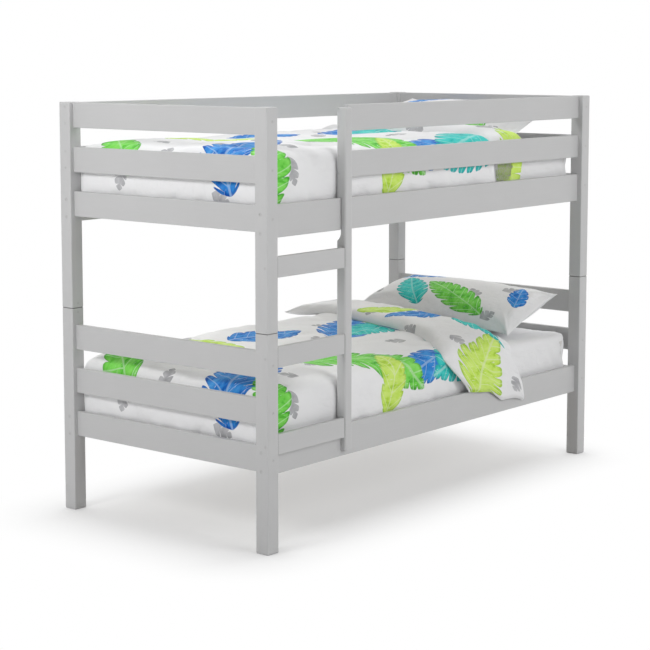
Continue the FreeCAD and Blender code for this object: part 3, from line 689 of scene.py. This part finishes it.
def fitted_sheet(bed):
    """A fitted sheet pulled over the mattress, with soft creases at its corners and a gathered hem."""
    step, cover, hem_rise, edge_fall, edge_reach, spare = 0.0125, 0.0022, 0.014, 0.014, 0.032, 0.002
    sag, corner_crease, corner_reach, line_depth = 0.0024, 0.006, 0.16, 0.005
    gather, gathers_per_metre, waist, loose_top = 0.0015, 190, 0.002, 0.8
    top, hem = SHEET_TOP[bed], SLAT_TOP[bed] + hem_rise
    half = (MATTRESS_HALF[0] + cover, MATTRESS_HALF[1] + cover)
    side = top - (edge_fall - spare) - hem
    flat_x, flat_y = (np.linspace(-h - side, h + side, int(2 * (h + side) / step)) for h in half)
    fx, fy = np.meshgrid(flat_x, flat_y, indexing="ij")
    x, y, drop, wx, wy = tray(fx, fy, half, MATTRESS_CORNER)
    inset = nearest_edge(half[0] - np.abs(fx), half[1] - np.abs(fy))
    hangs, share = drop > 0, np.clip(drop / side, 0, 1)
    brink = top - edge_fall
    crown = brink + edge_fall * shoulder(inset, edge_reach, 2.0)
    z = np.where(hangs, brink - (side - spare) * share, crown)
    near_corner = bell(np.hypot(np.abs(x) - half[0], np.abs(y) - half[1]), corner_reach)
    pull = ripple(spread(fx * 4.0, fy * 4.0), 1.0, 3.0)
    across, along = np.abs(fx) - np.abs(fy), np.abs(fx) + np.abs(fy)
    crease = ripple(spread(across * 26, along * 3), 1.0, 8.0)
    lines = creases(spread(fx * 0.7, fy * 1.6), 5.0, 14.0) * (0.35 + near_corner)
    out = sag * pull + corner_crease * near_corner * crease - line_depth * lines
    hem_gathers = gather * np.sin((x + y) * gathers_per_metre) * share**3
    out += np.where(hangs, hem_gathers - waist * np.sin(math.pi * share), 0)
    skin = np.stack([
        x + np.where(hangs, wx * out, 0),
        y + np.where(hangs, wy * out, 0),
        z + np.where(hangs, 0, out * loose_top),
    ], -1)
    piece = mesh_piece(
        f"{bed}_fitted_sheet_cloth", skin.reshape(-1, 3), quads(*fx.shape),
        np.stack([fx, fy], -1).reshape(-1, 2), [COTTON],
    )
    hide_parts(f"{bed}_fitted_sheet")
    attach(piece, f"{bed}_mattress_unit")


def duvet_body(bed):
    """The duvet over the bed, tucked in at the foot and both sides: outer and inner skins."""
    step, head, edge_drop, edge_reach, edge_power = 0.0135, 0.50, 0.015, 0.16, 2.6
    fuller_from, fuller_span = -0.10, 0.48
    over_sheet, side_thick, top_thick = 0.0025, 0.005, 0.006
    half_x, half_y = DUVET_HALF
    top = SHEET_TOP[bed] + DUVET_FILL
    edge = SHEET_TOP[bed] - edge_drop
    side = edge - (RAIL_TOP[bed] - TUCK)
    flat_x = np.linspace(-half_x - side, head, int((half_x + side + head) / step))
    flat_y = np.linspace(-half_y - side, half_y + side, int(2 * (half_y + side) / step))
    fx, fy = np.meshgrid(flat_x, flat_y, indexing="ij")
    x, y, drop, wx, wy = tray(fx, fy, DUVET_HALF, DUVET_CORNER, head_open=True)
    inset = nearest_edge(fx + half_x, half_y - np.abs(fy))
    hangs, share = drop > 0, np.clip(drop / side, 0, 1)
    rise = shoulder(inset, edge_reach, edge_power)
    to_back = np.clip((fy - fuller_from) / fuller_span, 0, 1)
    fuller = BACK_FILL[bed] * to_back**2 * (3 - 2 * to_back)
    z = np.where(hangs, edge - side * share, edge + (top + fuller - edge) * rise)
    lift, stand = duvet_wrinkles(DUVET_SEED[bed], fx, fy, wx, wy, inset, share, rise)
    out = np.where(hangs, stand, 0)
    outer = np.stack([x + wx * out, y + wy * out, z + np.where(hangs, 0, lift)], -1)
    low = SHEET_TOP[bed] + over_sheet
    inner_z = np.where(hangs, np.minimum(outer[..., 2], low), np.minimum(low, outer[..., 2] - top_thick))
    within = (out - side_thick) * hangs
    inner = np.stack([x + wx * within, y + wy * within, inner_z], -1)
    hem = share > 0.999
    inner[hem] = outer[hem]
    return fx.shape, outer, inner, np.stack([fx, fy], -1)


def duvet_wrinkles(seed, fx, fy, wx, wy, inset, share, rise):
    """How far wrinkles lift the duvet's top, and how far its hanging sides stand out."""
    broad_swell, small_swell, long_fold, short_fold = 0.008, 0.004, 0.008, 0.005
    fan_folds, fan_reach, fan_lift, fan_draw = 5.0, 0.36, 0.012, 0.006
    pucker_dip, pucker_reach, pucker_draw, pinch_draw = 0.009, 0.09, 0.008, 0.010
    side_draw, side_bulge, bulge_end = 0.004, 0.005, 0.8
    flat = spread(fx, fy)
    along = np.where(np.abs(wy) > np.abs(wx), fx, fy)
    pucker = np.abs(ripple(spread(along * 15, share * 0.7, seed), 1.0, seed + 9))
    fans = sum(
        gathers(fx + DUVET_HALF[0], fy - end * DUVET_HALF[1], fan_folds, fan_reach, seed + 20 + end)
        for end in (-1, 1)
    )
    swell = ripple(flat, 2.7, seed) * broad_swell + ripple(flat, 6.5, seed + 5) * small_swell
    folds = creases(flat * np.array([0.6, 1.5, 1.0]), 3.4, seed + 13) * long_fold
    folds += creases(flat * np.array([1.0, 0.7, 1.0]), 6.0, seed + 29, 14) * short_fold
    lift = (swell - folds + fan_lift * fans) * rise
    lift -= pucker_dip * pucker * bell(inset, pucker_reach)
    pinch = creases(spread(along * 7, share * 0.6), 1.0, seed + 41, 12)
    bulge = side_bulge * np.sin(math.pi * np.clip(share / bulge_end, 0, 1))
    drawn = side_draw + pucker_draw * pucker * (0.25 + share) - fan_draw * np.minimum(fans, 0)
    drawn += pinch_draw * pinch * share**2
    at_corner = 2 * np.abs(wx * wy)
    return lift, (bulge - drawn) * (1 - at_corner)


def turned_path(bed):
    """Rows across the bed for the turned-down end: length so far, then the place of the surface that it
    lies on, where its free edge and its fold are, how thick it is, and how far below that the fold goes."""
    z = SHEET_TOP[bed]
    top = z + 0.040
    if bed == "upper":
        sides = [
            (0.4475, z - 0.158, 0.376, 0.556, 0.002, 0.000),
            (0.4480, z - 0.115, 0.372, 0.560, 0.003, 0.000),
            (0.4480, z - 0.050, 0.370, 0.566, 0.004, 0.000),
            (0.4440, z + 0.000, 0.368, 0.570, 0.009, 0.004),
            (0.4200, z + 0.022, 0.366, 0.570, 0.020, 0.022),
            (0.3600, z + 0.034, 0.366, 0.566, 0.028, 0.034),
            (0.2000, top, 0.372, 0.556, 0.031, 0.039),
        ]
        front = [(-y, *row) for y, *row in sides[::-1]]
        rows = [*sides, (0.0, top + 0.001, 0.362, 0.552, 0.032, 0.039), *front]
    else:
        rows = [
            (0.4760, z + 0.078, 0.215, 0.552, 0.011, 0.026),
            (0.4500, z + 0.072, 0.240, 0.558, 0.028, 0.048),
            (0.4100, z + 0.070, 0.272, 0.562, 0.034, 0.060),
            (0.3500, z + 0.070, 0.300, 0.563, 0.034, 0.066),
            (0.2000, top + 0.023, 0.304, 0.562, 0.036, 0.061),
            (0.0600, top + 0.010, 0.302, 0.560, 0.041, 0.049),
            (-0.0700, top + 0.001, 0.290, 0.556, 0.042, 0.040),
            (-0.2000, top, 0.228, 0.536, 0.036, 0.039),
            (-0.3100, z + 0.037, 0.150, 0.496, 0.031, 0.036),
            (-0.3850, z + 0.028, 0.090, 0.456, 0.026, 0.026),
            (-0.4350, z + 0.005, 0.066, 0.440, 0.020, 0.008),
            (-0.4620, z - 0.034, 0.084, 0.452, 0.016, 0.000),
            (-0.4740, z - 0.075, 0.112, 0.478, 0.014, 0.000),
            (-0.4775, z - 0.115, 0.150, 0.508, 0.013, 0.000),
            (-0.4775, z - 0.150, 0.176, 0.528, 0.012, 0.000),
            (-0.4775, z - 0.209, 0.200, 0.546, 0.012, 0.000),
        ]
    rows = np.array(rows)
    step = np.hypot(np.diff(rows[:, 0]), np.diff(rows[:, 1]))
    return np.column_stack([np.concatenate([[0], np.cumsum(step)]), rows])


def read_path(table, length):
    """The values of a turned-down end at lengths along its path, and the way out of the surface there."""
    whole, near = table[-1, 0], 0.002
    y, z, free, fold, thick, below = np.moveaxis(curve_through(table, length), -1, 0)
    ahead = curve_through(table, np.minimum(length + near, whole))[..., :2]
    behind = curve_through(table, np.maximum(length - near, 0))[..., :2]
    way = ahead - behind
    way /= np.linalg.norm(way, axis=-1, keepdims=True)
    return y, z, free, fold, thick, below, way[..., 1], -way[..., 0]


# How much shorter the lower turned-down end hangs, from its free edge, at 0, to its fold, at 1
HEM_RISE = [
    (0.0, 0.074), (0.25, 0.064), (0.38, 0.058), (0.55, 0.014), (0.8, 0.010), (0.93, 0.002), (1.0, -0.010),
]


def turned_end(bed):
    """The head end of the duvet turned down on itself, as a ring of points round its thickness."""
    col_step, spans, lip_shares = 0.0115, 30, [0.0, 0.004, 0.012, 0.025, 0.045]
    hem_reach, lip_reach, full_swell, least_thick = 0.022, 0.075, 0.03, 0.0005
    widest_fold, least_fold, fold_out, roll_steps, sway_size = 0.034, 0.004, 1.15, 9, 0.006
    broad_swell, small_swell, crease_depth = 0.006, 0.004, 0.005
    seed = TURNED_SEED[bed]
    table = turned_path(bed)
    whole = table[-1, 0]
    cols = int(whole / col_step)
    shares = np.concatenate([lip_shares, np.linspace(0.075, 1.0, spans)])
    t = np.linspace(0, 1, cols)
    s, tt = np.meshgrid(shares, t, indexing="ij")
    shorter = np.interp(s, *zip(*HEM_RISE)) if bed == "lower" else 0 * s
    length = tt * (whole - shorter)
    y, z, free, fold, thick, below, ny, nz = read_path(table, length)
    run = s * (fold - free)
    hem = np.minimum(tt, 1 - tt) * whole
    rim = shoulder(hem, hem_reach, 2.0)
    lip = shoulder(run + least_thick, lip_reach, 2.2)
    cloth = spread(run, length)
    swell = ripple(cloth, 5.0, seed) * broad_swell
    swell += ripple(cloth * np.array([0.7, 2.2, 1.0]), 9.0, seed + 3) * small_swell
    swell -= creases(cloth * np.array([0.5, 1.6, 1.0]), 5.0, seed + 31) * crease_depth
    offset = (thick * lip + swell * lip * np.clip(thick / full_swell, 0.25, 1)) * rim
    offset = np.maximum(offset, least_thick)
    reach = np.minimum(widest_fold, np.maximum((thick + below) * 0.5, least_fold)) * rim
    sway = ripple(spread(0 * length, length), 5.0, seed + 7) * sway_size
    x_outer = free + run - reach * s**3 + sway * (1 - s) + 0.5 * sway * s
    outer = np.stack([x_outer, y + ny * offset, z + nz * offset], -1)
    angle = np.linspace(0, math.pi, roll_steps)[1:, None]
    ends = (x_outer, y, z, offset, below * rim[-1], reach, ny, nz)
    lx, ly, lz, lo, lb, lr, lny, lnz = (np.repeat(a[-1][None], len(angle), 0) for a in ends)
    middle, half = (lo - lb) / 2, (lo + lb) / 2
    o = middle + half * np.cos(angle)
    roll = np.stack([lx + lr * np.sin(angle) * fold_out, ly + lny * o, lz + lnz * o], -1)
    beneath = -0.001 - below * s**4
    under = np.stack([x_outer, y + ny * beneath, z + nz * beneath], -1)[::-1][1:]
    ring = np.concatenate([outer, roll, under[:-1]], 0)
    steps = np.cumsum(np.linalg.norm(np.diff(ring, axis=0), axis=-1), 0)
    round_it = np.concatenate([[0 * length[0]], steps], 0)
    across = np.repeat((t * whole)[None], len(ring), 0) - whole / 2
    return ring.shape[:2], ring, np.stack([round_it, across], -1)


def duvet(bed):
    """The duvet with its head end turned down, filled by simulation."""
    grid, outer, inner, uv = duvet_body(bed)
    prints = [DUVET_TOP, DUVET_BACK]
    faces = quads(*grid)
    n = grid[0] * grid[1]
    edge = border(*grid)
    band = [(a, n + a, n + b, b) for a, b in zip(edge, edge[1:] + edge[:1])]
    points = np.concatenate([outer.reshape(-1, 3), inner.reshape(-1, 3)])
    uv = np.tile(uv.reshape(-1, 2), (2, 1))
    body = mesh_piece(f"{bed}_duvet_cover", points, faces + second_skin(faces, n) + band, uv, prints)
    close_shell(body)
    grid, ring, uv = turned_end(bed)
    faces = quads(*grid, ring=True)
    slots = [prints.index(DUVET_BACK)] * len(faces)
    flap = mesh_piece(f"{bed}_duvet_turned", ring.reshape(-1, 3), faces, uv.reshape(-1, 2), prints, slots)
    close_shell(flap)
    settle(body, pressure=1.2, cap=0.008, slack=0.02)
    keep_within(body, DUVET_HALF, DUVET_CORNER)
    settle(flap, pressure=1.0, cap=0.006, slack=0.03)
    if bed == "upper":
        keep_within(flap, DUVET_HALF, DUVET_CORNER)
    make_active(body)
    flap.select_set(True)
    bpy.ops.object.join()
    smooth_once(body)
    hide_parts(f"{bed}_duvet")
    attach(body, f"{bed}_duvet_unit")


# Seam corners of a pillow above the sheet: foot side front and back, then head side front and back
PILLOW_CORNERS = np.array([
    [(0.600, -0.380, 0.012), (0.580, 0.385, 0.092)],
    [(0.935, -0.396, 0.163), (0.935, 0.375, 0.158)],
])
# Its loft, the way that it swells, half its flat size, and the face of the head boards behind it
PILLOW_LOFT = {"lower": 0.068, "upper": 0.047}
PILLOW_UP = np.array([-0.34, 0, 0.94])
PILLOW_HALF = (0.26, 0.40)
HEAD_BOARD_FACE = 0.9545


def pillow(bed):
    """A pillow in its case, leaning on the head boards; its seam runs round the thin rim."""
    n_a, n_b, seat_gap = 40, 74, 0.001
    ends_in, sides_in, draw_round = 0.075, 0.022, 0.7
    side_round, front_round, rear_round, rear_drop = 0.62, 0.5, 1.1, 0.02
    fan_folds, fan_reach, fan_lift, swell = 5.0, 0.15, 0.014, 0.006
    rear_print = np.array([3.0, 0])
    seed = PILLOW_SEED[bed]
    seat = SHEET_TOP[bed] + seat_gap
    a, b = (np.sin(np.linspace(-1, 1, n) * math.pi / 2) for n in (n_a, n_b))
    aa, bb = np.meshgrid(a, b, indexing="ij")
    draw_a = 1 - ends_in * (1 - bb**2) ** draw_round * np.abs(aa) ** 3
    draw_b = 1 - sides_in * (1 - aa**2) ** draw_round * np.abs(bb) ** 3
    to_head, to_back = ((1 + aa * draw_a) / 2)[..., None], ((1 + bb * draw_b) / 2)[..., None]
    foot_side, head_side = (front * (1 - to_back) + back * to_back for front, back in PILLOW_CORNERS)
    seam = foot_side * (1 - to_head) + head_side * to_head
    half_a, half_b = PILLOW_HALF
    flat = spread(aa * half_a, bb * half_b)
    folds = sum(
        gathers((aa - end_a) * half_a, (bb - end_b) * half_b, fan_folds, fan_reach, seed + 2 * end_a + end_b)
        for end_a in (-1, 1) for end_b in (-1, 1)
    )
    body = (1 - aa**2) ** side_round * (1 - bb**2) ** front_round
    loft = PILLOW_LOFT[bed] * body * (0.92 + 0.12 * bell(bb, 0.6))
    loft += (fan_lift * folds + swell * ripple(flat, 6.0, seed)) * np.minimum(1, body * 2)
    front = seam + PILLOW_UP * loft[..., None]
    belly = (1 - aa**2) ** side_round * (1 - bb**2) ** rear_round
    rear = seam - PILLOW_UP * (belly * (rear_drop + seam[..., 2]))[..., None]
    faces = quads(n_a, n_b)
    points = np.concatenate([front.reshape(-1, 3), rear.reshape(-1, 3)])
    points[:, 2] = np.maximum(points[:, 2], seat_gap) + seat
    uv = flat[..., :2].reshape(-1, 2)
    piece = mesh_piece(
        f"{bed}_pillow_case", points, faces + second_skin(faces, n_a * n_b),
        np.concatenate([uv, uv + rear_print]), [PILLOW_PRINT],
    )
    close_shell(piece)
    settle(piece, pressure=3.0, cap=0.012, slack=0.03)
    smooth_once(piece)
    co = points_of(piece)
    co[:, 2] = np.maximum(co[:, 2], seat)
    co[:, 0] = np.minimum(co[:, 0], HEAD_BOARD_FACE)
    place_points(piece, co)
    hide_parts(f"{bed}_pillow")
    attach(piece, f"{bed}_pillow_unit")


for bed in BEDS:
    mattress(bed)
    fitted_sheet(bed)
    duvet(bed)
    pillow(bed)


def lamp(name, place, aim, size, power):
    """A soft box of a size in metres, at a place, turned to what it is aimed at."""
    data = bpy.data.lights.new(name, "AREA")
    data.shape = "RECTANGLE"
    data.size, data.size_y = size
    data.energy = power
    made = bpy.data.objects.new(name, data)
    made.location = place
    made.rotation_euler = (Vector(aim) - Vector(place)).to_track_quat("-Z", "Y").to_euler()
    bpy.context.collection.objects.link(made)


lamp("overhead_softbox", (0.3, 0.9, 6.0), (0.0, 0.0, 0.0), (4.0, 3.2), 14)
lamp("left_softbox", (-4.0, 0.3, 2.9), (-0.8, 0.1, 0.9), (1.1, 1.1), 64)
lamp("front_softbox", (0.4, -8.5, 5.0), (0.2, 0.0, 0.9), (4.6, 4.6), 306)


def studio_world():
    """Even light all round, brighter from the white backdrop behind the bed."""
    world = bpy.data.worlds.new("studio")
    SCENE.world = world
    w = Nodes(world)
    sky = w.tree.nodes["Background"]
    sky.inputs["Color"].default_value = (1, 1, 1, 1)
    way = w.node("ShaderNodeTexCoord", {}, {}, "Generated")
    facing = w.node("ShaderNodeVectorMath", {"operation": "DOT_PRODUCT"}, {0: way, 1: BACKDROP_WAY}, 1)
    behind = facing.over(0.45, 0.3)
    seen = w.seen()
    level = seen + (1 - seen) * (AMBIENT + behind * (BACKDROP - AMBIENT))
    w.tree.links.new(level.socket, sky.inputs["Strength"])


def studio_floor():
    """A pale floor that fades to white away from the bed and keeps its shadow."""
    bed_middle, shaded_half, fade, fade_soft = (-0.09, 0.0, 0.0), (0.92, 0.37, 1.0), 0.14, 0.26
    least_glow, foot_shade = 0.32, 0.10
    wipe_selection()
    bpy.ops.mesh.primitive_plane_add(size=120.0)
    floor = bpy.context.active_object
    floor.name = "studio_floor"
    f = Finish("studio_floor", Roughness=0.9, Base_Color=(0.74, 0.74, 0.74, 1), Specular_IOR_Level=0.0)
    glow = f.node("ShaderNodeEmission", {}, {"Color": (1, 1, 1, 1), "Strength": 1.0})
    centred = f.node("ShaderNodeVectorMath", {"operation": "SUBTRACT"}, {0: f.place(), 1: bed_middle})
    side = f.node("ShaderNodeVectorMath", {"operation": "ABSOLUTE"}, {0: centred})
    past = f.node("ShaderNodeVectorMath", {"operation": "SUBTRACT"}, {0: side, 1: shaded_half})
    past = f.node("ShaderNodeVectorMath", {"operation": "MAXIMUM"}, {0: past, 1: (0, 0, 0)})
    away = f.node("ShaderNodeVectorMath", {"operation": "LENGTH"}, {0: past}, 1).over(fade, fade_soft)
    clear = f.node("ShaderNodeAmbientOcclusion", {"samples": 12}, {"Distance": foot_shade}, "AO")
    mixed = f.node("ShaderNodeMixShader", {}, {
        0: f.seen() * (least_glow + away * (1 - least_glow)) * clear,
        1: Signal(f, f.shader.outputs[0]),
        2: glow,
    })
    f.tree.links.new(mixed.socket, f.tree.nodes["Material Output"].inputs["Surface"])
    floor.data.materials.append(f.material)


studio_world()
studio_floor()

camera_data = bpy.data.cameras.new("photo_camera")
camera_data.lens = CAMERA_LENS
camera_data.sensor_width = 36.0
camera_data.shift_x, camera_data.shift_y = CAMERA_SHIFT
camera_data.clip_end = 200.0
camera = bpy.data.objects.new("photo_camera", camera_data)
camera.location = CAMERA_PLACE
camera.rotation_euler = Euler((CAMERA_PITCH, 0.0, CAMERA_TURN))
bpy.context.collection.objects.link(camera)
SCENE.camera = camera
SCENE.view_settings.view_transform = "Standard"
